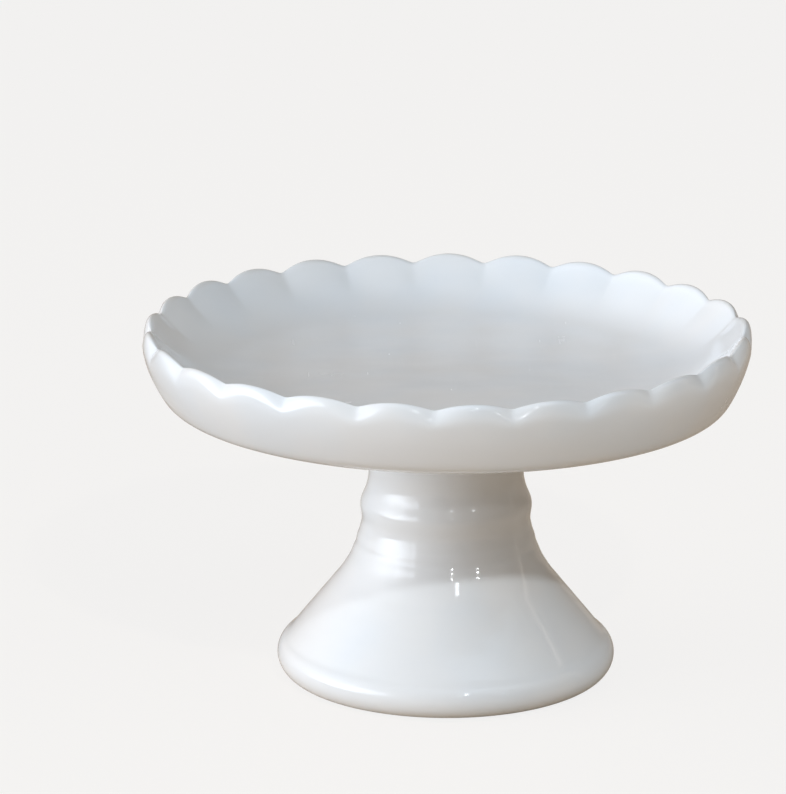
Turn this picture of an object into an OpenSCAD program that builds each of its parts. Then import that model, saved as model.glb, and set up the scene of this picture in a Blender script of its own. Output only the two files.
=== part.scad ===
// Pedestal cake stand in glazed earthenware: a scalloped dish luted onto a hollow bell foot.
// Millimetres, +Z up. The origin is the middle of the ring that the foot stands on.

/* [Dish] */
// Outer diameter of the dish, measured over the crests of the scallops
dish_d = 220; // [160:1:320]
// Height from the flat underside up to the dips between the scallops
dish_h = 28.9; // [24:0.1:45]
// Thickness of the floor in the middle
floor_t = 12; // [7:0.5:15]
// Distance that the inside wall slopes in, from the lip to where it turns into the floor
wall_run = 17.1; // [10:0.1:24]
// Width of the rising band between that turn and the level middle of the floor
floor_band = 26.5; // [15:0.5:35]
// Rise of the floor across that band
floor_rise = 2.2; // [0.5:0.1:4]
// Lean of the outside wall at the lip, in mm inward per mm down
wall_lean = 0.13; // [0:0.01:0.3]
// Extra lean of the outside wall for each mm further down
wall_swell = 0.0105; // [0:0.0005:0.015]
// Distance from the outer edge of the lip in to the corner under the wall
heel_in = 9; // [7:0.1:14]
// Height of that corner above the flat underside
heel_h = 4.8; // [2:0.1:8]
// Width of the sloping band between that corner and the flat underside
under_band = 16.5; // [10:0.5:25]

/* [Scalloped rim] */
// Number of scallops round the rim
scallops = 25; // [12:1:40]
// Height of a crest above the dips beside it
crest_h = 3; // [0.5:0.1:4]
// How far the wall is pressed in at a dip
dip_in = 1.8; // [0:0.1:3]
// Thickness of the rounded lip
lip_t = 4.4; // [3:0.1:6]
// Height above the turn of the floor at which the pressed dips have faded out
rim_root = 4.2; // [3:0.1:6]
// Turn of the first dip from the +X axis, in degrees
first_dip = 9.2; // [0:0.1:29]

/* [Pedestal] */
// Widest diameter of the foot, over its rolled lip
foot_d = 122.6; // [90:0.1:170]
// Radius of the rolled lip round the foot
roll_r = 7; // [4:0.1:9]
// Width of the ring that the foot stands on
foot_ring_w = 5; // [3:0.1:7]
// Wall thickness of the pedestal
wall_t = 6; // [4:0.1:7]
// Height from the foot ring to the waist under the bead
flare_h = 57.8; // [48:0.1:80]
// Height from the waist to the top of the neck
neck_h = 39.6; // [32:0.1:60]
// Narrowest diameter of the neck
neck_d = 55.8; // [46:0.1:70]
// Height of the narrowest point above the waist
neck_up = 13.5; // [11:0.1:16]
// How far the waist stands out beyond the narrowest point
waist_out = 2.2; // [0.5:0.1:5]
// How far the bead stands out beyond it
bead_out = 3.4; // [1:0.1:6]
// Height of the bead above the waist
bead_up = 5; // [3:0.1:8]
// Length of the rounding either side of the waist, bead and neck corners
bead_bend = 3; // [1:0.1:4]
// Drop from the waist to the knee, where the shank bends out into the cone of the foot
knee_down = 16; // [10:0.1:24]
// How far the knee stands out beyond the narrowest point
knee_out = 6.6; // [4:0.1:10]
// Length of the rounded bend either side of the knee
knee_bend = 12; // [4:0.5:14]
// How far the collar under the dish stands out beyond the narrowest point
collar_out = 4.6; // [1:0.1:8]
// Height of the straight collar at the top of the neck
collar_h = 3; // [2.6:0.1:5]
// Height over which the neck spreads to the collar
spread_h = 10; // [6:0.1:12]

/* [Luted joint] */
// Thickness of the slip between dish and pedestal, also the clearance round the boss
slip_t = 0.8; // [0.4:0.1:1.5]
// Height of the locating boss under the dish
boss_h = 3; // [2:0.1:6]
// Size of the slip fillet outside the joint
fillet_r = 2.4; // [1:0.1:2.5]

/* [Hidden] */
$fn = 96;

// Straight pieces in each rounded corner of an outline
bend_n = 8;
// Rounding either side of the dish's corners: floor to wall, wall to underside, and the soft ones
turn_bend = 9;
heel_bend = 5;
soft_bend = 4;
// Steps round each scallop, and rows down the wall of the rim
steps = 6;
rows = 4;
// Depth that the rim is sunk into the dish, and how far its skin lies inside the wall there
sink = 1;
skin_in = 0.04;
// Where the rolled lip leaves the ground and where the cone leaves the roll, in degrees
roll_a0 = -80;
roll_a1 = 66;

neck_r = neck_d / 2;
neck_top = flare_h + neck_h;
collar_r = neck_r + collar_out;
bore_r = neck_r - wall_t;
boss_r = bore_r - slip_t;
dish_r = dish_d / 2;
lip_r = lip_t / 2;
under_z = neck_top + slip_t;
dip_z = under_z + dish_h;
floor_z = under_z + floor_t;

// Corners of the dish's section: where the floor turns up, where the wall turns under
floor_turn = [dish_r - lip_t - wall_run, floor_z + floor_rise];
heel = [dish_r - heel_in, under_z + heel_h];
join_z = floor_turn.y + rim_root;

roll_c = [foot_d / 2 - roll_r, -roll_r * sin(roll_a0)];
ring_r = roll_c.x + roll_r * cos(roll_a0) - foot_ring_w;
cone_foot = roll_c + roll_r * [cos(roll_a1), sin(roll_a1)];
cone_top = [neck_r + knee_out, flare_h - knee_down];
cone_a = atan((cone_foot.x - cone_top.x) / (cone_top.y - cone_foot.y));

// Points of an arc about c, from angle a to angle b
function arc(c, r, a, b, n = bend_n) =
    [for (i = [0:n]) let (t = a + (b - a) * i / n) c + r * [cos(t), sin(t)]];

// Height at which the inside of the pedestal's cone has radius r
function cone_in_z(r) = cone_foot.y + (cone_foot.x - wall_t / cos(cone_a) - r) / tan(cone_a);

// Outline through corners [x, y, bend]: each corner is replaced by a curve that starts and ends
// that far from it, or half way to its neighbour if that is nearer
function rounded(c) = [for (i = [0:len(c) - 1]) each corner(c, i)];
function xy(p) = [p.x, p.y];
function corner(c, i) =
    c[i][2] == 0 ? [xy(c[i])] :
    let (p = xy(c[i]), q = xy(c[i - 1]), s = xy(c[i + 1]))
    let (cut = min(c[i][2], norm(p - q) / 2, norm(s - p) / 2))
    let (from = p + cut * (q - p) / norm(q - p), to = p + cut * (s - p) / norm(s - p))
    [for (k = [0:bend_n]) let (t = k / bend_n)
        (1 - t) * (1 - t) * from + 2 * t * (1 - t) * p + t * t * to];

// Outside and inside radius of the dish's wall at height z, where the rim isn't pressed in
function wall_out(z) =
    let (down = max(0, dip_z - z))
    dish_r - wall_lean * down - wall_swell * down * down;
function wall_in(z) =
    let (up = (z - floor_turn.y) / (dip_z + crest_h - lip_r - floor_turn.y))
    floor_turn.x + wall_run * up;

// Height of the rim at angle a, from 0 at a dip to 1 at a crest
function swell(a) =
    let (u = (a - first_dip) * scallops / 360, across = 2 * (u - floor(u)) - 1)
    1 - across * across;

// Section of the rim at angle a as [radius, height] points, from the outside up over the lip
function rim_section(a) =
    let (h = swell(a), top = dip_z + crest_h * h - lip_r, press = -dip_in * (1 - h))
    [
        [wall_out(join_z) - skin_in - sink, join_z - sink],
        for (k = [0:rows - 1])
            let (t = k / rows, z = join_z + (top - join_z) * t)
            [wall_out(z) - skin_in * (1 - t) + press * t * t, z],
        each arc([dish_r - lip_r + press, top], lip_r, 0, 180, rows),
        for (k = [rows - 1:-1:0])
            let (t = k / rows, z = join_z + (top - join_z) * t)
            [wall_in(z) + skin_in * (1 - t) + press * t * t, z],
        [wall_in(join_z) + skin_in + sink, join_z - sink]
    ];

// The scalloped rim as one closed band
module rim() {
    turns = scallops * steps;
    sections = [for (i = [0:turns - 1]) rim_section(first_dip + 360 * i / turns)];
    m = len(sections[0]);
    points = [
        for (i = [0:turns - 1], p = sections[i])
            let (a = first_dip + 360 * i / turns)
            [p.x * cos(a), p.x * sin(a), p.y]
    ];
    faces = [
        for (i = [0:turns - 1], j = [0:m - 1])
            let (i2 = (i + 1) % turns, j2 = (j + 1) % m)
            each [[i * m + j, i * m + j2, i2 * m + j], [i2 * m + j, i * m + j2, i2 * m + j2]]
    ];
    polyhedron(points, faces);
}

// The dish below the rim: wall, floor, flat underside and locating boss
module dish() {
    flat_r = heel.x - under_band;
    rotate_extrude()
        polygon(concat(
            [[0, under_z - boss_h], [boss_r, under_z - boss_h], [boss_r, under_z]],
            rounded([
                [flat_r - soft_bend, under_z, 0],
                [flat_r, under_z, soft_bend],
                [heel.x, heel.y, heel_bend],
                [wall_out(heel.y + heel_bend), heel.y + heel_bend, 0]
            ]),
            [for (k = [1:rows])
                let (z0 = heel.y + heel_bend, z = z0 + (join_z - z0) * k / rows)
                [wall_out(z), z]],
            rounded([
                [wall_in(join_z), join_z, 0],
                [floor_turn.x, floor_turn.y, turn_bend],
                [floor_turn.x - floor_band, floor_z, soft_bend],
                [0, floor_z, 0]
            ])
        ));
}

module plate() {
    color("whitesmoke")
    union() {
        dish();
        rim();
    }
}

module pedestal() {
    color("white")
    rotate_extrude()
        polygon(concat(
            [[ring_r, 0]],
            arc(roll_c, roll_r, roll_a0, roll_a1, 2 * bend_n),
            rounded([
                [cone_foot.x, cone_foot.y, 0],
                [cone_top.x, cone_top.y, knee_bend],
                [neck_r + waist_out, flare_h, bead_bend],
                [neck_r + bead_out, flare_h + bead_up, bead_bend],
                [neck_r, flare_h + neck_up, bead_bend],
                [neck_r, neck_top - collar_h - spread_h, spread_h],
                [collar_r, neck_top - collar_h, 0],
                [collar_r, neck_top, 0],
                [bore_r, neck_top, 0],
                [bore_r, cone_in_z(bore_r), knee_bend],
                [ring_r, cone_in_z(ring_r), bead_bend],
                [ring_r, 0, 0]
            ])
        ));
}

// The fired slip: a collar round the boss, a washer on the neck and a fillet outside it
module luting_slip() {
    fillet_c = [collar_r + fillet_r, under_z - fillet_r];
    color("snow")
    rotate_extrude()
        polygon(concat(
            [[boss_r, under_z], [boss_r, under_z - boss_h], [bore_r, under_z - boss_h]],
            [[bore_r, neck_top], [collar_r, neck_top]],
            arc(fillet_c, fillet_r, 180, 90)
        ));
}

plate();
pedestal();
luting_slip();
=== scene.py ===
"""Looks of a pedestal cake stand in white glazed earthenware.

The dish, the bell foot and the luted joint between them are turned as a potter turns them: a
section spun round the stand's axis, then pressed and warped a little by hand. Lengths in the
classes are millimetres in the stand's own frame, +Z up from the ring that the foot stands on.
"""

import logging
import math
import random
from dataclasses import dataclass, field
from enum import Enum

import bmesh
import bpy
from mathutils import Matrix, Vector


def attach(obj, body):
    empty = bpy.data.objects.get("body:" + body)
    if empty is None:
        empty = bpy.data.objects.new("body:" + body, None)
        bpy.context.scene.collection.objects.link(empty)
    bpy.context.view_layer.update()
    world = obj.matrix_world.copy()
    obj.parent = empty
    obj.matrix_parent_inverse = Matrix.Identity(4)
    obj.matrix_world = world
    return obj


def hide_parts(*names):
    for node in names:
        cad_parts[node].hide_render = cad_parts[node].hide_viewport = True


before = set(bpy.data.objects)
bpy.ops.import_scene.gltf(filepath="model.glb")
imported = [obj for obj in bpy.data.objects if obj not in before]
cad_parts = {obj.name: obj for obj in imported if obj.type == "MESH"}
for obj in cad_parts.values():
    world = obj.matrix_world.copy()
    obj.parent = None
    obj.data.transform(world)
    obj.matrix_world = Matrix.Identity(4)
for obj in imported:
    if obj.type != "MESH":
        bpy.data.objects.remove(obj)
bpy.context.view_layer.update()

LOG = logging.getLogger("cake_stand")
MM = 0.001
Point = tuple[float, float]
Colour = tuple[float, float, float]
Socket = bpy.types.NodeSocket


def smooth(x: float, low: float, high: float) -> float:
    """Rises smoothly from 0 at low to 1 at high.

    Args:
        x: The value to place between the two.
        low: Where the rise starts.
        high: Where it ends.

    Returns:
        A number from 0 to 1.
    """
    t = min(1.0, max(0.0, (x - low) / (high - low)))
    return t * t * (3 - 2 * t)


def mix(a: float, b: float, t: float) -> float:
    """The value t of the way from a to b."""
    return a + (b - a) * t


class Outline:
    """A section drawn as [radius, height] points, with straight runs, bends and arcs."""

    def __init__(self, start: Point, step: float) -> None:
        """Starts the outline.

        Args:
            start: The first point, in mm.
            step: The longest distance between neighbouring points, in mm.
        """
        self.points: list[Point] = [start]
        self.step = step

    def _add(self, point: Point) -> None:
        """Adds a point unless it repeats the last one."""
        if math.dist(point, self.points[-1]) > 1e-4:
            self.points.append(point)

    def line(self, *ends: Point) -> "Outline":
        """Runs straight through each of the ends in turn.

        Args:
            ends: The points to run to.

        Returns:
            The outline, so that calls chain.
        """
        for end in ends:
            start = self.points[-1]
            n = max(1, round(math.dist(start, end) / self.step))
            for k in range(1, n + 1):
                self._add((mix(start[0], end[0], k / n), mix(start[1], end[1], k / n)))
        return self

    def bend(self, corner: Point, end: Point) -> "Outline":
        """Curves from the last point to the end, drawn towards the corner.

        Args:
            corner: The point that the curve leans to.
            end: Where it arrives.

        Returns:
            The outline, so that calls chain.
        """
        start = self.points[-1]
        length = math.dist(start, corner) + math.dist(corner, end)
        n = max(3, round(length / self.step))
        for k in range(1, n + 1):
            t = k / n
            self._add(tuple((1 - t) ** 2 * start[i] + 2 * t * (1 - t) * corner[i] + t * t * end[i]
                            for i in (0, 1)))
        return self

    def corners(self, *knots: tuple[float, float, float]) -> "Outline":
        """Runs through corners that are each rounded by their own amount.

        Args:
            knots: Each corner's radius, height and the length of its rounding either side. A
                rounding never passes half way to the next corner.

        Returns:
            The outline, so that calls chain.
        """
        before = Vector(self.points[-1])
        for i, (x, y, cut) in enumerate(knots[:-1]):
            here, after = Vector((x, y)), Vector(knots[i + 1][:2])
            if cut:
                cut = min(cut, (after - here).length / 2)
                cut = min(cut, (before - here).length / (2 if i else 1))
                start = here + (before - here).normalized() * cut
                end = here + (after - here).normalized() * cut
                self.line(tuple(start)).bend(tuple(here), tuple(end))
            else:
                self.line(tuple(here))
            before = here
        return self.line(knots[-1][:2])

    def arc(self, centre: Point, radius: float, start: float, end: float) -> "Outline":
        """Follows an arc about a centre.

        Args:
            centre: The arc's centre.
            radius: Its radius.
            start: The angle where it starts, in degrees from the radius direction.
            end: The angle where it ends.

        Returns:
            The outline, so that calls chain.
        """
        turn = math.radians(end - start)
        n = max(4, round(abs(turn) * radius / self.step))
        for k in range(n + 1):
            a = math.radians(start) + turn * k / n
            self._add((centre[0] + radius * math.cos(a), centre[1] + radius * math.sin(a)))
        return self

    def sponge(self, first: int, passes: int) -> "Outline":
        """Softens the line since a point, as a wet sponge softens turned clay.

        Args:
            first: Number of the first point that may move.
            passes: How many times the sponge goes over it.

        Returns:
            The outline, so that calls chain.
        """
        for _ in range(passes):
            p = self.points
            self.points = p[:first] + [
                tuple((p[i - 1][k] + 2 * p[i][k] + p[i + 1][k]) / 4 for k in (0, 1))
                for i in range(first, len(p) - 1)] + p[-1:]
        return self


@dataclass
class Turned:
    """A piece of pottery thrown on the wheel: a section, spun, then changed by hand.

    The full turn is made of so many sectors with so many spokes each. A closed section is a
    ring clear of the axis. An open one has its two ends filled with a flat face.
    """

    name: str
    node: str
    slot: str
    sectors: int = 24
    spokes: int = 12
    closed: bool = True
    weld: float = 0.002

    def outline(self) -> Outline:
        """The section of the piece, which each kind of piece draws for itself."""
        raise NotImplementedError

    def hand(self, r: float, angle: float, z: float) -> tuple[float, float, float]:
        """Moves a point of the true turned shape as the potter's hands did.

        Args:
            r: The point's distance from the axis, in mm.
            angle: Its direction round the axis, in radians from +X.
            z: Its height, in mm.

        Returns:
            The new radius, angle and height.
        """
        return r, angle, z

    def turn(self) -> bmesh.types.BMesh:
        """Spins the section through one sector, repeats the sector round and closes the ends.

        Returns:
            The turned shape, before it is changed by hand.
        """
        bm = bmesh.new()
        verts = [bm.verts.new((x * MM, 0, z * MM)) for x, z in self.outline().points]
        pairs = list(zip(verts, verts[1:])) + ([(verts[-1], verts[0])] if self.closed else [])
        around = {"cent": (0, 0, 0), "axis": (0, 0, 1), "dvec": (0, 0, 0), "use_merge": False}
        sector = math.tau / self.sectors
        bmesh.ops.spin(bm, geom=verts + [bm.edges.new(pair) for pair in pairs], angle=sector,
                       steps=self.spokes, use_duplicate=False, **around)
        bmesh.ops.spin(bm, geom=bm.verts[:] + bm.edges[:] + bm.faces[:], angle=math.tau - sector,
                       steps=self.sectors - 1, use_duplicate=True, **around)
        bmesh.ops.remove_doubles(bm, verts=bm.verts, dist=self.weld * MM)
        ends = [edge for edge in bm.edges if edge.is_boundary]
        if ends:
            bmesh.ops.holes_fill(bm, edges=ends, sides=0)
        return bm

    def build(self) -> bpy.types.Object:
        """Turns the piece, shapes it by hand and makes it ride on the stand.

        Returns:
            The piece's object, which stands for its node.
        """
        bm = self.turn()
        for vert in bm.verts:
            r = math.hypot(vert.co.x, vert.co.y)
            r, angle, z = self.hand(r / MM, math.atan2(vert.co.y, vert.co.x), vert.co.z / MM)
            vert.co = Vector((r * math.cos(angle), r * math.sin(angle), z)) * MM
        bmesh.ops.recalc_face_normals(bm, faces=bm.faces)
        mesh = bpy.data.meshes.new(self.name)
        bm.to_mesh(mesh)
        bm.free()
        mesh.polygons.foreach_set("use_smooth", [True] * len(mesh.polygons))
        piece = bpy.data.objects.new(self.name, mesh)
        bpy.context.scene.collection.objects.link(piece)
        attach(piece, "root")
        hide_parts(self.node)
        LOG.info("%s: %d faces", self.name, len(mesh.polygons))
        return piece


@dataclass
class Dish(Turned):
    """The dish: floor, flared wall and hand-pressed scalloped rim.

    Each scallop is one sector of the turn. The floor, the underside, the heel, the dips of the
    rim and the boss are heights or [radius, height] points from the model's own frame.
    """

    name: str = "scalloped_dish"
    node: str = "plate"
    slot: str = "dish_glaze"
    sectors: int = 25
    spokes: int = 26
    closed: bool = False

    radius: float = 110.0
    under: float = 98.2
    dips: float = 127.1
    boss: Point = (21.1, 95.2)
    boss_bend: float = 0.5
    hub: float = 6.0
    under_flat: float = 84.5
    heel: Point = (101.0, 103.0)
    heel_bend: float = 6.0
    wall_from: float = 109.0
    wall_step: float = 2.0
    wall_lean: float = 0.13
    wall_swell: float = 0.0105

    lip: float = 4.4
    lip_drop: float = 5.0
    lip_corner: Point = (0.1, 0.6)
    lip_arc: tuple[float, float] = (95.0, 165.0)

    floor: float = 110.2
    floor_turn: float = 88.5
    floor_rise: float = 2.2
    turn_bend: float = 11.0
    floor_band: float = 26.5
    floor_bend: float = 8.0
    floor_run: float = 14.0

    rim_root: float = 4.2
    crest_root: float = 11.4
    crest_reach: float = 10.4
    first_dip: float = 9.2
    notch: float = 0.09
    dip_in: float = 1.7
    dip_inside: float = 0.45
    crest_front: float = 2.25
    crest_back: float = 3.3
    back_at: float = 100.0
    crest_spread: float = 0.2
    heel_tilt: float = 0.9
    floor_ripple: float = 0.16
    seed: int = 7
    crest_own: list[float] = field(default_factory=list)

    def __post_init__(self) -> None:
        """Draws each scallop's own small difference in height."""
        draw = random.Random(self.seed)
        spread = self.crest_spread
        self.crest_own = [draw.uniform(-spread, spread) for _ in range(self.sectors)]

    def wall(self, z: float) -> float:
        """Radius of the outside wall at a height."""
        down = max(0.0, self.dips - z)
        return self.radius - self.wall_lean * down - self.wall_swell * down * down

    def outline(self) -> Outline:
        """Draws the section from the middle of the boss, out, up and back along the floor.

        Returns:
            The dish's section.
        """
        half = self.lip / 2
        top = self.dips - self.lip_drop
        edge = self.wall(top)
        rows = round((top - self.wall_from) / self.wall_step)
        heights = [self.wall_from + self.wall_step * k for k in range(1, rows)]
        band = self.floor_turn - self.floor_band
        o = Outline((self.hub, self.boss[1]), step=3.0)
        o.corners((*self.boss, self.boss_bend), (self.boss[0], self.under, 0.0),
                  (self.under_flat, self.under, 0.0))
        first = len(o.points) - 3
        o.step = 1.2
        o.corners((*self.heel, self.heel_bend), (self.wall(self.wall_from), self.wall_from, 0.0))
        o.line(*[(self.wall(z), z) for z in (*heights, top)])
        o.step = 0.5
        o.bend((edge + self.lip_corner[0], self.dips - self.lip_corner[1]),
               (edge - half, self.dips))
        o.arc((edge - half, self.dips - half), half, *self.lip_arc)
        o.step = 1.2
        o.corners((self.floor_turn, self.floor + self.floor_rise, self.turn_bend),
                  (band, self.floor, self.floor_bend), (band - self.floor_run, self.floor, 0.0))
        o.sponge(first, passes=4)
        o.step = 3.5
        return o.line((self.hub, self.floor))

    def scallop(self, angle: float) -> tuple[float, int]:
        """Where a direction falls in the row of scallops.

        Args:
            angle: Direction round the axis, in radians.

        Returns:
            How far towards the crest it is, 0 at a dip and 1 at the crest, and which scallop.
        """
        slip = math.radians(-0.4 + 1.2 * math.sin(angle) + 0.4 * math.sin(3 * angle + 0.6))
        turns = (math.degrees(angle - slip) - self.first_dip) * self.sectors / 360
        index = math.floor(turns)
        near = 1 - abs(2 * (turns - index) - 1)
        near = math.sqrt(near * near + self.notch * self.notch) - self.notch * (1 - near)
        return min(1.0, max(0.0, 2 * near - near * near)), index % self.sectors

    def crest(self, angle: float, index: int) -> float:
        """Finds how high one scallop stands, which is more at the back than in front.

        Args:
            angle: Direction round the axis, in radians.
            index: Which scallop it is.

        Returns:
            Height of its crest above its dips, in mm.
        """
        back = smooth(math.cos(angle - math.radians(self.back_at)), 0.0, 1.0)
        return mix(self.crest_front, self.crest_back, back) + self.crest_own[index]

    def hand(self, r: float, angle: float, z: float) -> tuple[float, float, float]:
        """Presses the dips in, lets the crests rise and warps the rim and the heel slightly.

        Args:
            r: The point's distance from the axis, in mm.
            angle: Its direction round the axis, in radians from +X.
            z: Its height, in mm.

        Returns:
            The new radius, angle and height.
        """
        rise, index = self.scallop(angle)
        depth = self.wall(z) - r
        up = smooth(z, self.floor + self.floor_rise + self.rim_root, self.dips)
        top = min(1.0, max(0.0, (z - (self.dips - self.crest_root)) / self.crest_reach))
        warp = 0.45 * math.cos(2 * angle) + 0.12 * math.sin(3 * angle + 1.0)
        bulge = 0.22 * math.sin(3 * angle + 0.4) + 0.14 * math.sin(5 * angle + 2.0)
        # The heel leans to one side, and the lean dies out towards the foot and the rim
        outer = 1 - smooth(z, 104, 109) * smooth(depth, 1.5, 4)
        lean = self.heel_tilt * smooth(r, 45, 98) * (1 - smooth(z, 100, 122)) * outer
        z_new = z + top ** 1.6 * self.crest(angle, index) * rise + up * warp
        z_new -= lean * math.cos(angle) * r / self.heel[0]
        # The thumb outside pressed deeper than the clay moved inside
        press = up ** 3 * self.dip_in * mix(1.0, self.dip_inside, smooth(depth, 1.5, 3.8))
        r_new = r - press * (1 - rise) + up * bulge
        if z > self.floor - 1 and r < 95:
            ripple = math.sin(r / 11 + 1.3 * math.sin(angle))
            z_new += self.floor_ripple * ripple * (1 - smooth(r, 70, 92))
        return r_new, angle, z_new


@dataclass
class BellFoot(Turned):
    """The hollow bell foot: rolled lip, cone, shank, bead and neck.

    The neck is the narrowest radius, and the sizes that end in out stand proud of it. The
    throwing rings are the marks that fingers left on the shank.
    """

    name: str = "bell_foot"
    node: str = "pedestal"
    slot: str = "foot_glaze"

    foot: float = 61.3
    roll: float = 7.0
    roll_turn: tuple[float, float] = (-80.0, 62.0)
    ring: float = 5.0
    ring_chamfer: Point = (0.6, 0.5)
    wall: float = 6.0
    hollow_bends: tuple[float, float] = (12.0, 3.0)

    neck: float = 27.9
    knee_out: float = 6.6
    knee_down: float = 16.0
    knee_bend: float = 12.0
    waist_z: float = 57.8
    waist_out: float = 2.1
    bead_out: float = 3.5
    bead_up: float = 5.1
    bead_bend: float = 3.0
    neck_up: float = 13.5
    neck_bend: float = 3.5
    spread_down: float = 13.0
    spread_bend: float = 9.0
    top_z: float = 97.4
    collar_out: float = 4.6
    collar_h: float = 3.0
    collar_bend: float = 1.0

    mark: float = 0.09
    mark_at: tuple[float, float] = (51.0, 4.5)
    mark_wave: tuple[float, float] = (49.3, 5.0)

    def outline(self) -> Outline:
        """Draws the section from the inside of the foot ring round the outside and back.

        Returns:
            The foot's section, a closed ring.
        """
        low, high = (math.radians(a) for a in self.roll_turn)
        centre = (self.foot - self.roll, -self.roll * math.sin(low))
        ring_out = centre[0] + self.roll * math.cos(low)
        cone = (centre[0] + self.roll * math.cos(high), centre[1] + self.roll * math.sin(high))
        knee = (self.neck + self.knee_out, self.waist_z - self.knee_down)
        slope = (cone[0] - knee[0]) / (knee[1] - cone[1])
        across = self.wall * math.hypot(1, slope)
        bore, mouth = self.neck - self.wall, ring_out - self.ring
        inside = [cone[1] + (cone[0] - across - r) / slope for r in (bore, mouth)]
        chamfer = self.ring_chamfer
        collar = self.neck + self.collar_out
        o = Outline((mouth, chamfer[0]), step=0.8)
        o.line((mouth + chamfer[0], 0.0), (ring_out - chamfer[1], 0.0))
        o.arc(centre, self.roll, *self.roll_turn)
        first = len(o.points) - 2
        o.corners((*knee, self.knee_bend),
                  (self.neck + self.waist_out, self.waist_z, self.bead_bend),
                  (self.neck + self.bead_out, self.waist_z + self.bead_up, self.bead_bend),
                  (self.neck, self.waist_z + self.neck_up, self.neck_bend),
                  (self.neck, self.top_z - self.spread_down, self.spread_bend),
                  (collar, self.top_z - self.collar_h, self.collar_bend),
                  (collar, self.top_z, 0.0))
        o.sponge(first, passes=3)
        o.step = 1.8
        o.corners((bore, self.top_z, 0.0), (bore, inside[0], self.hollow_bends[0]),
                  (mouth, inside[1], self.hollow_bends[1]), (mouth, chamfer[0], 0.0))
        o.points.pop()
        return o

    def hand(self, r: float, angle: float, z: float) -> tuple[float, float, float]:
        """Adds the throwing rings of the shank and the slight unevenness of a hand-turned foot.

        Args:
            r: The point's distance from the axis, in mm.
            angle: Its direction round the axis, in radians from +X.
            z: Its height, in mm.

        Returns:
            The new radius, angle and height, unchanged inside the foot and on its ring.
        """
        if r < self.neck - 1 or z < 1:
            return r, angle, z
        middle, reach = self.mark_at
        start, apart = self.mark_wave
        fade = math.exp(-((z - middle) / reach) ** 2)
        marks = self.mark * fade * math.sin(math.tau * (z - start) / apart)
        faint = 0.03 * math.sin(math.tau * z / 6.3 + 0.6 * math.sin(angle))
        wobble = 0.12 * math.sin(2 * angle + 0.8) * smooth(z, 2, 20) * (1 - smooth(z, 80, 95))
        shank = smooth(z, 16, 24) * (1 - smooth(z, 88, 94))
        return r + (marks + faint) * shank + wobble, angle, z


@dataclass
class LutedJoint(Turned):
    """The ring of fired slip between dish and foot, wiped to a fillet on the outside."""

    name: str = "luted_joint"
    node: str = "luting_slip"
    slot: str = "slip_glaze"
    spokes: int = 10
    boss: Point = (21.1, 95.2)
    bore: float = 21.9
    neck_top: float = 97.4
    under: float = 98.2
    collar: float = 32.5
    fillet: float = 2.4
    run_out: float = 0.25

    def outline(self) -> Outline:
        """Draws the section down the boss, under the neck's mouth and out to the fillet.

        Returns:
            The slip's section, a closed ring.
        """
        o = Outline((self.boss[0], self.under), step=0.35)
        o.line(self.boss, (self.bore, self.boss[1]), (self.bore, self.neck_top),
               (self.collar, self.neck_top))
        o.arc((self.collar + self.fillet, self.under - self.fillet), self.fillet, 180, 90)
        o.line((self.boss[0], self.under))
        o.points.pop()
        return o

    def hand(self, r: float, angle: float, z: float) -> tuple[float, float, float]:
        """Lets the wiped fillet run a little wider in some places.

        Args:
            r: The point's distance from the axis, in mm.
            angle: Its direction round the axis, in radians from +X.
            z: Its height, in mm.

        Returns:
            The new radius, angle and height.
        """
        edge = smooth(r, self.collar + 0.2, self.collar + self.fillet)
        run = self.run_out * math.sin(3 * angle + 0.7) * math.cos(2 * angle)
        return r + edge * run, angle, z


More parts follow.
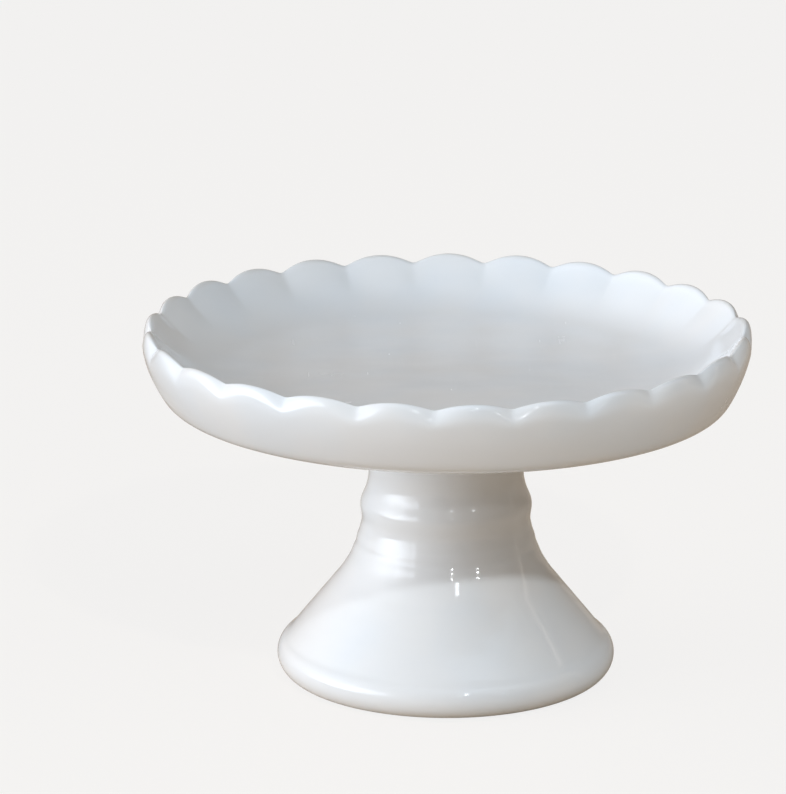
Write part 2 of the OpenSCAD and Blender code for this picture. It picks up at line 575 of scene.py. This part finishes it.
class Graph:
    """Short calls for laying out a node tree."""

    def __init__(self, tree: bpy.types.NodeTree) -> None:
        """Starts on a tree."""
        self.tree = tree

    def put(self, kind: str, settings: dict | None = None, **values: object) -> bpy.types.Node:
        """Adds a node.

        Args:
            kind: Its type, without the words ShaderNode.
            settings: Properties to set on it, by name.
            values: Sockets or constants for its inputs, by name with _ for a space, or by
                number as in at0.

        Returns:
            The node.
        """
        node = self.tree.nodes.new(kind if "Node" in kind else "ShaderNode" + kind)
        for key, value in (settings or {}).items():
            setattr(node, key, value)
        for key, value in values.items():
            socket = node.inputs[int(key[2:]) if key[:2] == "at" else key.replace("_", " ")]
            if isinstance(value, Socket):
                self.tree.links.new(value, socket)
            else:
                socket.default_value = value
        return node

    def math(self, operation: str, a: object, b: object = 0.0, clamp: bool = False) -> Socket:
        """Adds a Math node.

        Args:
            operation: What it works out.
            a: Its first socket or number.
            b: Its second.
            clamp: Whether the result stays between 0 and 1.

        Returns:
            Its output.
        """
        node = self.put("Math", {"operation": operation, "use_clamp": clamp}, at0=a, at1=b)
        return node.outputs[0]

    def ramp(self, value: Socket, low: object, high: object, start: object = 0.0,
             end: object = 1.0) -> Socket:
        """Adds a smooth Map Range node.

        Args:
            value: What it reads.
            low: Where the change starts.
            high: Where it ends.
            start: The result at low.
            end: The result at high.

        Returns:
            Its output.
        """
        node = self.put("MapRange", {"interpolation_type": "SMOOTHSTEP"}, Value=value,
                        From_Min=low, From_Max=high, To_Min=start, To_Max=end)
        return node.outputs["Result"]

    def noise(self, where: Socket, scale: object, detail: float = 2.0,
              roughness: float = 0.5) -> Socket:
        """Adds a Noise Texture.

        Args:
            where: The coordinates that it reads.
            scale: Its size, in waves to the metre.
            detail: How many finer layers it has.
            roughness: How strong the finer layers are.

        Returns:
            Its value.
        """
        node = self.put("TexNoise", Vector=where, Scale=scale, Detail=detail, Roughness=roughness)
        return node.outputs["Fac"]

    def blend(self, factor: object, a: object, b: object, mode: str = "MIX") -> Socket:
        """Adds a colour Mix node.

        Args:
            factor: How much of b there is.
            a: The first colour.
            b: The second colour.
            mode: How they are mixed.

        Returns:
            The mixed colour.
        """
        node = self.tree.nodes.new("ShaderNodeMix")
        node.data_type, node.blend_type = "RGBA", mode
        for number, value in ((0, factor), (6, a), (7, b)):
            if isinstance(value, Socket):
                self.tree.links.new(value, node.inputs[number])
            else:
                node.inputs[number].default_value = value
        return node.outputs[2]


def rgba(colour: Colour) -> tuple[float, float, float, float]:
    """A colour with full opacity."""
    return (*colour, 1.0)


class Group:
    """A node group that the finishes share."""

    def __init__(self, name: str, inputs: dict[str, float], outputs: dict[str, str]) -> None:
        """Makes the group with its sockets.

        Args:
            name: The group's name.
            inputs: Its number inputs with their usual values.
            outputs: Its outputs with their kinds, such as Float.
        """
        self.tree = bpy.data.node_groups.new(name, "ShaderNodeTree")
        for key, value in inputs.items():
            made = self.tree.interface.new_socket(key, in_out="INPUT",
                                                  socket_type="NodeSocketFloat")
            made.default_value = value
        for key, kind in outputs.items():
            self.tree.interface.new_socket(key, in_out="OUTPUT", socket_type="NodeSocket" + kind)
        self.graph = Graph(self.tree)
        self.given = self.tree.nodes.new("NodeGroupInput").outputs
        self.result = self.tree.nodes.new("NodeGroupOutput").inputs
        self.place = self.graph.put("TexCoord").outputs["Object"]

    def out(self, name: str, value: Socket) -> None:
        """Sends a value to one of the group's outputs."""
        self.tree.links.new(value, self.result[name])

    def use(self, graph: Graph, **values: object) -> bpy.types.bpy_prop_collection:
        """Places the group in a material.

        Args:
            graph: The material's tree.
            values: Its inputs, by name with _ for a space.

        Returns:
            The placed node's outputs.
        """
        return graph.put("ShaderNodeGroup", {"node_tree": self.tree}, **values).outputs


def glaze_relief() -> Group:
    """Makes the group for a glaze's uneven surface.

    Returns:
        A group that puts out a normal: long soft waves where the glaze ran, a finer orange
        peel, and the throwing rings of the clay under it.
    """
    made = Group("glaze_relief", {"Wave Size": 45.0, "Wave Height": 0.0002, "Peel Size": 260.0,
                                  "Peel Height": 0.00001, "Ring Height": 0.00002},
                 {"Normal": "Vector"})
    g = made.graph
    waves = g.math("MULTIPLY", g.noise(made.place, made.given["Wave Size"], 1.5),
                   made.given["Wave Height"])
    peel = g.math("MULTIPLY", g.noise(made.place, made.given["Peel Size"], 2.0),
                  made.given["Peel Height"])
    rings = g.put("Mapping", Vector=made.place, Scale=(8.0, 8.0, 190.0)).outputs[0]
    rings = g.math("MULTIPLY", g.noise(rings, 1.0, 2.0), made.given["Ring Height"])
    height = g.math("ADD", g.math("ADD", waves, peel), rings)
    bump = g.put("Bump", Height=height, Strength=1.0, Distance=1.0)
    made.out("Normal", bump.outputs["Normal"])
    return made


def glaze_pooling() -> Group:
    """Makes the group for where a glaze lies thick or thin.

    Returns:
        A group that puts out masks: thick patches, and places where it broke thin over an edge
        at a given height.
    """
    made = Group("glaze_pooling", {"Patch Size": 22.0, "Edge Height": 0.0, "Edge Width": 0.002},
                 {"Thick": "Float", "Thin": "Float"})
    g = made.graph
    patch = g.noise(made.place, made.given["Patch Size"], 2.5, 0.55)
    made.out("Thick", g.ramp(patch, 0.38, 0.68))
    z = g.put("SeparateXYZ", Vector=made.place).outputs["Z"]
    ragged = g.math("MULTIPLY", g.math("SUBTRACT", g.noise(made.place, 120.0, 3.0), 0.5),
                    made.given["Edge Width"])
    away = g.math("ABSOLUTE", g.math("SUBTRACT", g.math("ADD", z, ragged),
                                     made.given["Edge Height"]))
    made.out("Thin", g.ramp(away, 0.0, made.given["Edge Width"], 1.0, 0.0))
    return made


def glaze_pits() -> Group:
    """Makes the group for the pinholes and iron specks of a fired glaze.

    Returns:
        A group that puts out masks of pinholes and of specks, a few to the square decimetre.
    """
    made = Group("glaze_pits", {"Spacing": 55.0, "Pit Radius": 0.0004, "Chance": 0.12},
                 {"Pits": "Float", "Specks": "Float"})
    g = made.graph
    for name, shift, wide in (("Pits", 0.0, 1.0), ("Specks", 3.7, 1.3)):
        moved = g.put("Mapping", Vector=made.place, Location=(shift, shift, 0.0)).outputs[0]
        cells = g.put("TexVoronoi", Vector=moved, Scale=made.given["Spacing"])
        size = g.math("MULTIPLY", g.math("MULTIPLY", made.given["Pit Radius"],
                                         made.given["Spacing"]), wide)
        spot = g.ramp(cells.outputs["Distance"], g.math("MULTIPLY", size, 0.6), size, 1.0, 0.0)
        draw = g.put("SeparateColor", Color=cells.outputs["Color"]).outputs[0]
        chosen = g.math("LESS_THAN", draw, made.given["Chance"])
        made.out(name, g.math("MULTIPLY", spot, chosen))
    return made


def handling() -> Group:
    """Makes the group for the film that washing and handling leave on a glaze.

    Returns:
        A group that puts out a mask of smears and one of fine wiping marks.
    """
    made = Group("handling", {"Smear Size": 28.0, "Mark Size": 300.0},
                 {"Smears": "Float", "Marks": "Float"})
    g = made.graph
    bent = g.put("Mapping", Vector=made.place, Rotation=(0.0, 0.0, 0.5),
                 Scale=(1.0, 2.2, 1.0)).outputs[0]
    made.out("Smears", g.ramp(g.noise(bent, made.given["Smear Size"], 3.0), 0.42, 0.66))
    drawn = g.put("Mapping", Vector=made.place, Rotation=(0.0, 0.0, 0.9),
                  Scale=(1.0, 0.06, 1.0)).outputs[0]
    made.out("Marks", g.ramp(g.noise(drawn, made.given["Mark Size"], 2.0), 0.62, 0.74))
    return made


class Ware(Enum):
    """The parts of the stand that are finished in their own way."""

    DISH = "dish_white_glaze"
    FOOT = "foot_white_glaze"
    SLIP = "joint_white_glaze"


@dataclass(frozen=True)
class WhiteGlaze:
    """A glossy white tin glaze over pale clay, with everything that makes it look fired.

    Lengths are in metres, as the shader's coordinates are. A pinhole has a direction in
    degrees, a radius and a height. A height below zero leaves out the mark that it places.
    """

    ware: Ware
    white: Colour = (0.80, 0.80, 0.795)
    pooled: Colour = (0.765, 0.785, 0.80)
    broken: Colour = (0.70, 0.65, 0.58)
    speck: Colour = (0.45, 0.36, 0.27)
    burnt: Colour = (0.16, 0.13, 0.11)
    clay: Colour = (0.56, 0.47, 0.37)

    gloss: float = 0.07
    smeared: float = 0.05
    marked: float = 0.03
    thinned: float = 0.05
    bared: float = 0.6
    wear: float = 0.16

    wave: float = 0.0002
    rings: float = 0.00002
    pit_depth: float = 0.0002
    grit: float = 0.00012

    pitted: float = 0.05
    pit_mix: float = 0.6
    speck_mix: float = 0.35
    pinhole: tuple[float, float, float] | None = None
    edge: float = 0.130
    edge_width: float = 0.0016
    edge_mix: float = 0.25
    bare_below: float = -1.0
    worn_from: float = 0.0
    worn_below: float = -1.0

    def holes(self, g: Graph, place: Socket, pits: Socket) -> Socket:
        """Adds the one placed pinhole, if there is one, to the scattered ones.

        Args:
            g: The material's tree.
            place: The coordinates on the piece.
            pits: The mask of scattered pinholes.

        Returns:
            The mask of every pinhole.
        """
        holes = g.math("MULTIPLY", pits, self.pit_mix)
        if self.pinhole:
            angle, r, z = math.radians(self.pinhole[0]), *self.pinhole[1:]
            away = g.put("VectorMath", {"operation": "DISTANCE"}, at0=place,
                         at1=(r * math.cos(angle), r * math.sin(angle), z)).outputs["Value"]
            holes = g.math("MAXIMUM", holes, g.ramp(away, 0.0002, 0.0006, 1.0, 0.0))
        return holes

    def worn(self, g: Graph, place: Socket) -> Socket:
        """Makes the patchy dulling of the band of heights that plates and knives rub.

        Args:
            g: The material's tree.
            place: The coordinates on the piece.

        Returns:
            How much rougher the glaze is there.
        """
        z = g.put("SeparateXYZ", Vector=place).outputs["Z"]
        band = g.math("MULTIPLY", g.ramp(z, self.worn_from, self.worn_from + 0.001),
                      g.ramp(z, self.worn_below, self.worn_below + 0.006, 1.0, 0.0))
        patchy = g.ramp(g.noise(place, 18.0, 3.0), 0.3, 0.7, 0.7 * self.wear, self.wear)
        return g.math("MULTIPLY", band, patchy)

    def bare(self, g: Graph, place: Socket) -> Socket:
        """Makes the mask of the clay that was wiped bare where the piece stands.

        Args:
            g: The material's tree.
            place: The coordinates on the piece.

        Returns:
            The mask, with a ragged upper edge.
        """
        z = g.put("SeparateXYZ", Vector=place).outputs["Z"]
        ragged = g.math("MULTIPLY", g.noise(place, 160.0, 3.0), 0.0005)
        return g.ramp(g.math("ADD", z, ragged), self.bare_below, self.bare_below + 0.0003,
                      1.0, 0.0)

    def dress(self, piece: bpy.types.Object, kit: dict[str, Group]) -> None:
        """Builds the material and puts it on a piece.

        Args:
            piece: The piece to glaze.
            kit: The shared node groups, by name.
        """
        material = bpy.data.materials.new(self.ware.value)
        material.use_nodes = True
        g = Graph(material.node_tree)
        shader = material.node_tree.nodes["Principled BSDF"]
        shader.inputs["IOR"].default_value = 1.5
        place = g.put("TexCoord").outputs["Object"]
        pooling = kit["pooling"].use(g, Edge_Height=self.edge, Edge_Width=self.edge_width)
        pits = kit["pits"].use(g, Chance=self.pitted)
        film = kit["handling"].use(g)
        relief = kit["relief"].use(g, Wave_Height=self.wave, Ring_Height=self.rings)
        colour = g.blend(pooling["Thick"], rgba(self.white), rgba(self.pooled))
        colour = g.blend(g.math("MULTIPLY", pooling["Thin"], self.edge_mix), colour,
                         rgba(self.broken))
        colour = g.blend(g.math("MULTIPLY", pits["Specks"], self.speck_mix), colour,
                         rgba(self.speck))
        holes = self.holes(g, place, pits["Pits"])
        colour = g.blend(holes, colour, rgba(self.burnt))
        rough: object = self.gloss
        for mask, more in ((film["Smears"], self.smeared), (film["Marks"], self.marked),
                           (pooling["Thin"], self.thinned)):
            rough = g.math("ADD", rough, g.math("MULTIPLY", mask, more))
        if self.worn_below > 0:
            rough = g.math("ADD", rough, self.worn(g, place))
        normal = g.put("Bump", Height=g.math("MULTIPLY", holes, -self.pit_depth), Distance=1.0,
                       Normal=relief["Normal"]).outputs["Normal"]
        if self.bare_below > 0:
            bare = self.bare(g, place)
            sandy = g.blend(g.ramp(g.noise(place, 900.0, 3.0), 0.3, 0.7), rgba(self.clay),
                            rgba(tuple(0.8 * c for c in self.clay)))
            colour = g.blend(bare, colour, sandy)
            rough = g.math("ADD", rough, g.math("MULTIPLY", bare, self.bared), clamp=True)
            grains = g.math("MULTIPLY", g.noise(place, 1400.0, 3.0), self.grit)
            normal = g.put("Bump", Height=g.math("MULTIPLY", bare, grains), Distance=1.0,
                           Normal=normal).outputs["Normal"]
        for name, value in (("Base Color", colour), ("Roughness", rough), ("Normal", normal)):
            material.node_tree.links.new(value, shader.inputs[name])
        piece.data.materials.append(material)
        LOG.info("%s wears %s", piece.name, material.name)


@dataclass
class Lamp:
    """A studio light aimed at the stand, placed by its direction from the camera's side."""

    name: str
    azimuth: float
    elevation: float
    wide: float
    high: float
    power: float
    colour: Colour = (1.0, 1.0, 1.0)
    distance: float = 2.0
    shape: str = "RECTANGLE"
    aim: Point = (0.0, 0.08)
    mirrored: bool = True

    def place(self) -> bpy.types.Object:
        """Hangs the lamp where its angles say.

        Returns:
            The lamp's object.
        """
        a, e = math.radians(self.azimuth), math.radians(self.elevation)
        away = Vector((math.sin(a) * math.cos(e), -math.cos(a) * math.cos(e), math.sin(e)))
        light = bpy.data.lights.new(self.name, "AREA")
        light.shape = self.shape
        light.size = 2 * self.distance * math.tan(math.radians(self.wide) / 2)
        if self.shape == "RECTANGLE":
            light.size_y = 2 * self.distance * math.tan(math.radians(self.high) / 2)
        light.energy = self.power
        light.color = self.colour
        lamp = bpy.data.objects.new(self.name, light)
        lamp.location = Vector((0, self.aim[0], self.aim[1])) + away * self.distance
        lamp.rotation_euler = (-away).to_track_quat("-Z", "Y").to_euler()
        lamp.visible_glossy = self.mirrored
        bpy.context.scene.collection.objects.link(lamp)
        return lamp


LAMPS = [
    Lamp("window_left_pane", -63, 14, 4.5, 17, 1.0, (0.80, 0.88, 1.0)),
    Lamp("window_middle", -53, 14, 13, 14, 1.9, (0.80, 0.88, 1.0)),
    Lamp("window_right_pane", -42.5, 14, 4.5, 17, 1.2, (0.80, 0.88, 1.0)),
    Lamp("key", 17, 40.3, 2.4, 2.4, 9.8, (0.87, 0.94, 1.0), shape="DISK", mirrored=False),
    Lamp("key_strip", 14, 37, 3.0, 13, 2.2, (0.9, 0.95, 1.0)),
    Lamp("low_key", 7.7, 24.6, 1.3, 1.3, 1.0, (0.9, 0.95, 1.0), shape="DISK"),
    Lamp("low_key_right", 40, 22.6, 1.3, 1.3, 1.0, (0.9, 0.95, 1.0), shape="DISK"),
    Lamp("doorway", 102, 15, 2.5, 42, 0.6, (1.0, 0.88, 0.76)),
]


@dataclass(frozen=True)
class Glow:
    """One broad glow of the room's walls, strongest in its own direction."""

    direction: tuple[float, float, float]
    spread: float
    colour: Colour


GLOWS = [
    Glow((1.0, 0.1, 0.15), 2.0, (0.06, 0.04, 0.02)),
    Glow((0.0, 1.0, 0.2), 2.0, (0.25, 0.19, 0.13)),
    Glow((-0.95, -0.27, 0.07), 14.0, (5.7, 6.3, 7.0)),
    Glow((-0.94, 0.03, 0.30), 5.0, (1.4, 1.43, 1.5)),
    Glow((-0.67, 0.67, 0.31), 8.0, (0.48, 0.38, 0.30)),
    Glow((-0.70, -0.70, 0.12), 12.0, (0.32, 0.31, 0.29)),
    Glow((0.30, -0.36, 0.88), 12.0, (1.28, 1.44, 1.6)),
    Glow((0.80, -0.20, 0.60), 12.0, (0.5, 0.48, 0.45)),
]


@dataclass
class Studio:
    """The pale floor, the room, the lamps and the camera.

    The floor looks pale to the camera and brown to the glaze. It is open inside the foot and
    clear from below, so that the hollow of the foot can be seen.
    """

    camera_at: Vector = field(default_factory=lambda: Vector((-0.0192, -1.5221, 0.5198)))
    pitch: float = 15.34
    lens: float = 199.2
    floor_colour: Colour = (0.60, 0.49, 0.38)
    floor_rough: float = 0.85
    floor_pale: float = 0.85
    floor_radius: float = 6000.0
    floor_drop: float = 0.1
    opening: float = 50.0
    paper: float = 0.98

    def camera(self) -> None:
        """Stands the camera in front of the stand, looking a little down."""
        data = bpy.data.cameras.new("camera")
        data.lens = self.lens
        data.sensor_width = 36
        data.clip_end = 50
        camera = bpy.data.objects.new("camera", data)
        camera.location = self.camera_at
        camera.rotation_euler = (math.radians(90 - self.pitch), 0, 0)
        bpy.context.scene.collection.objects.link(camera)
        bpy.context.scene.camera = camera

    def floor(self) -> None:
        """Lays the floor under the stand as one wide ring round the opening."""
        bm = bmesh.new()
        bmesh.ops.create_circle(bm, segments=64, radius=self.opening * MM)
        outer = bmesh.ops.extrude_edge_only(bm, edges=bm.edges)["geom"]
        reach = self.floor_radius / self.opening
        bmesh.ops.scale(bm, vec=(reach, reach, 1),
                        verts=[v for v in outer if isinstance(v, bmesh.types.BMVert)])
        bmesh.ops.recalc_face_normals(bm, faces=bm.faces)
        if sum(face.normal.z for face in bm.faces) < 0:
            bmesh.ops.reverse_faces(bm, faces=bm.faces)
        bmesh.ops.translate(bm, vec=(0, 0, -self.floor_drop * MM), verts=bm.verts)
        mesh = bpy.data.meshes.new("floor")
        bm.to_mesh(mesh)
        bm.free()
        floor = bpy.data.objects.new("floor", mesh)
        bpy.context.scene.collection.objects.link(floor)
        floor.data.materials.append(self.floor_paper())

    def floor_paper(self) -> bpy.types.Material:
        """Makes the floor's material.

        Returns:
            A matt brown that glows white to the camera alone and is clear from below.
        """
        material = bpy.data.materials.new("floor_paper")
        material.use_nodes = True
        g = Graph(material.node_tree)
        shader = material.node_tree.nodes["Principled BSDF"]
        shader.inputs["Base Color"].default_value = rgba(self.floor_colour)
        shader.inputs["Roughness"].default_value = self.floor_rough
        seen = g.put("LightPath").outputs["Is Camera Ray"]
        glow = g.put("Emission", Color=rgba((1.0, 1.0, 1.0)), Strength=self.paper)
        both = g.put("MixShader", Fac=g.math("MULTIPLY", seen, self.floor_pale))
        g.tree.links.new(shader.outputs[0], both.inputs[1])
        g.tree.links.new(glow.outputs[0], both.inputs[2])
        clear = g.put("MixShader", Fac=g.put("NewGeometry").outputs["Backfacing"])
        g.tree.links.new(both.outputs[0], clear.inputs[1])
        g.tree.links.new(g.put("BsdfTransparent").outputs[0], clear.inputs[2])
        g.tree.links.new(clear.outputs[0], g.tree.nodes["Material Output"].inputs["Surface"])
        return material

    def room(self) -> None:
        """Surrounds the stand with the soft glow of a room's walls."""
        world = bpy.data.worlds.new("room")
        bpy.context.scene.world = world
        world.use_nodes = True
        g = Graph(world.node_tree)
        toward = g.put("TexCoord").outputs["Generated"]
        total: object = rgba((0.0, 0.0, 0.0))
        for glow in GLOWS:
            aim = tuple(Vector(glow.direction).normalized())
            dot = g.put("VectorMath", {"operation": "DOT_PRODUCT"}, at0=toward, at1=aim)
            near = g.math("POWER", g.math("MAXIMUM", dot.outputs["Value"], 0.0), glow.spread)
            total = g.blend(near, total, rgba(glow.colour), "ADD")
        seen = g.put("LightPath").outputs["Is Camera Ray"]
        total = g.blend(seen, total, rgba((self.paper, self.paper, self.paper)))
        g.tree.links.new(total, g.tree.nodes["Background"].inputs["Color"])

    def light(self) -> None:
        """Lights the room and hangs the lamps."""
        self.room()
        for lamp in LAMPS:
            lamp.place()


def main() -> None:
    """Builds the stand, dresses it and sets the studio."""
    logging.basicConfig(level=logging.INFO, format="%(name)s: %(message)s")
    bpy.context.scene.view_settings.view_transform = "Standard"
    kit = {"relief": glaze_relief(), "pooling": glaze_pooling(), "pits": glaze_pits(),
           "handling": handling()}
    finishes = (
        WhiteGlaze(Ware.DISH, pinhole=(239.0, 0.1071, 0.1184), worn_from=0.1086,
                   worn_below=0.1125),
        WhiteGlaze(Ware.FOOT, edge=0.0, edge_width=0.004, edge_mix=0.35, bare_below=0.0006),
        WhiteGlaze(Ware.SLIP, gloss=0.1),
    )
    for part, finish in zip((Dish(), BellFoot(), LutedJoint()), finishes):
        finish.dress(part.build(), kit)
    studio = Studio()
    studio.camera()
    studio.floor()
    studio.light()


if __name__ == "__main__":
    main()
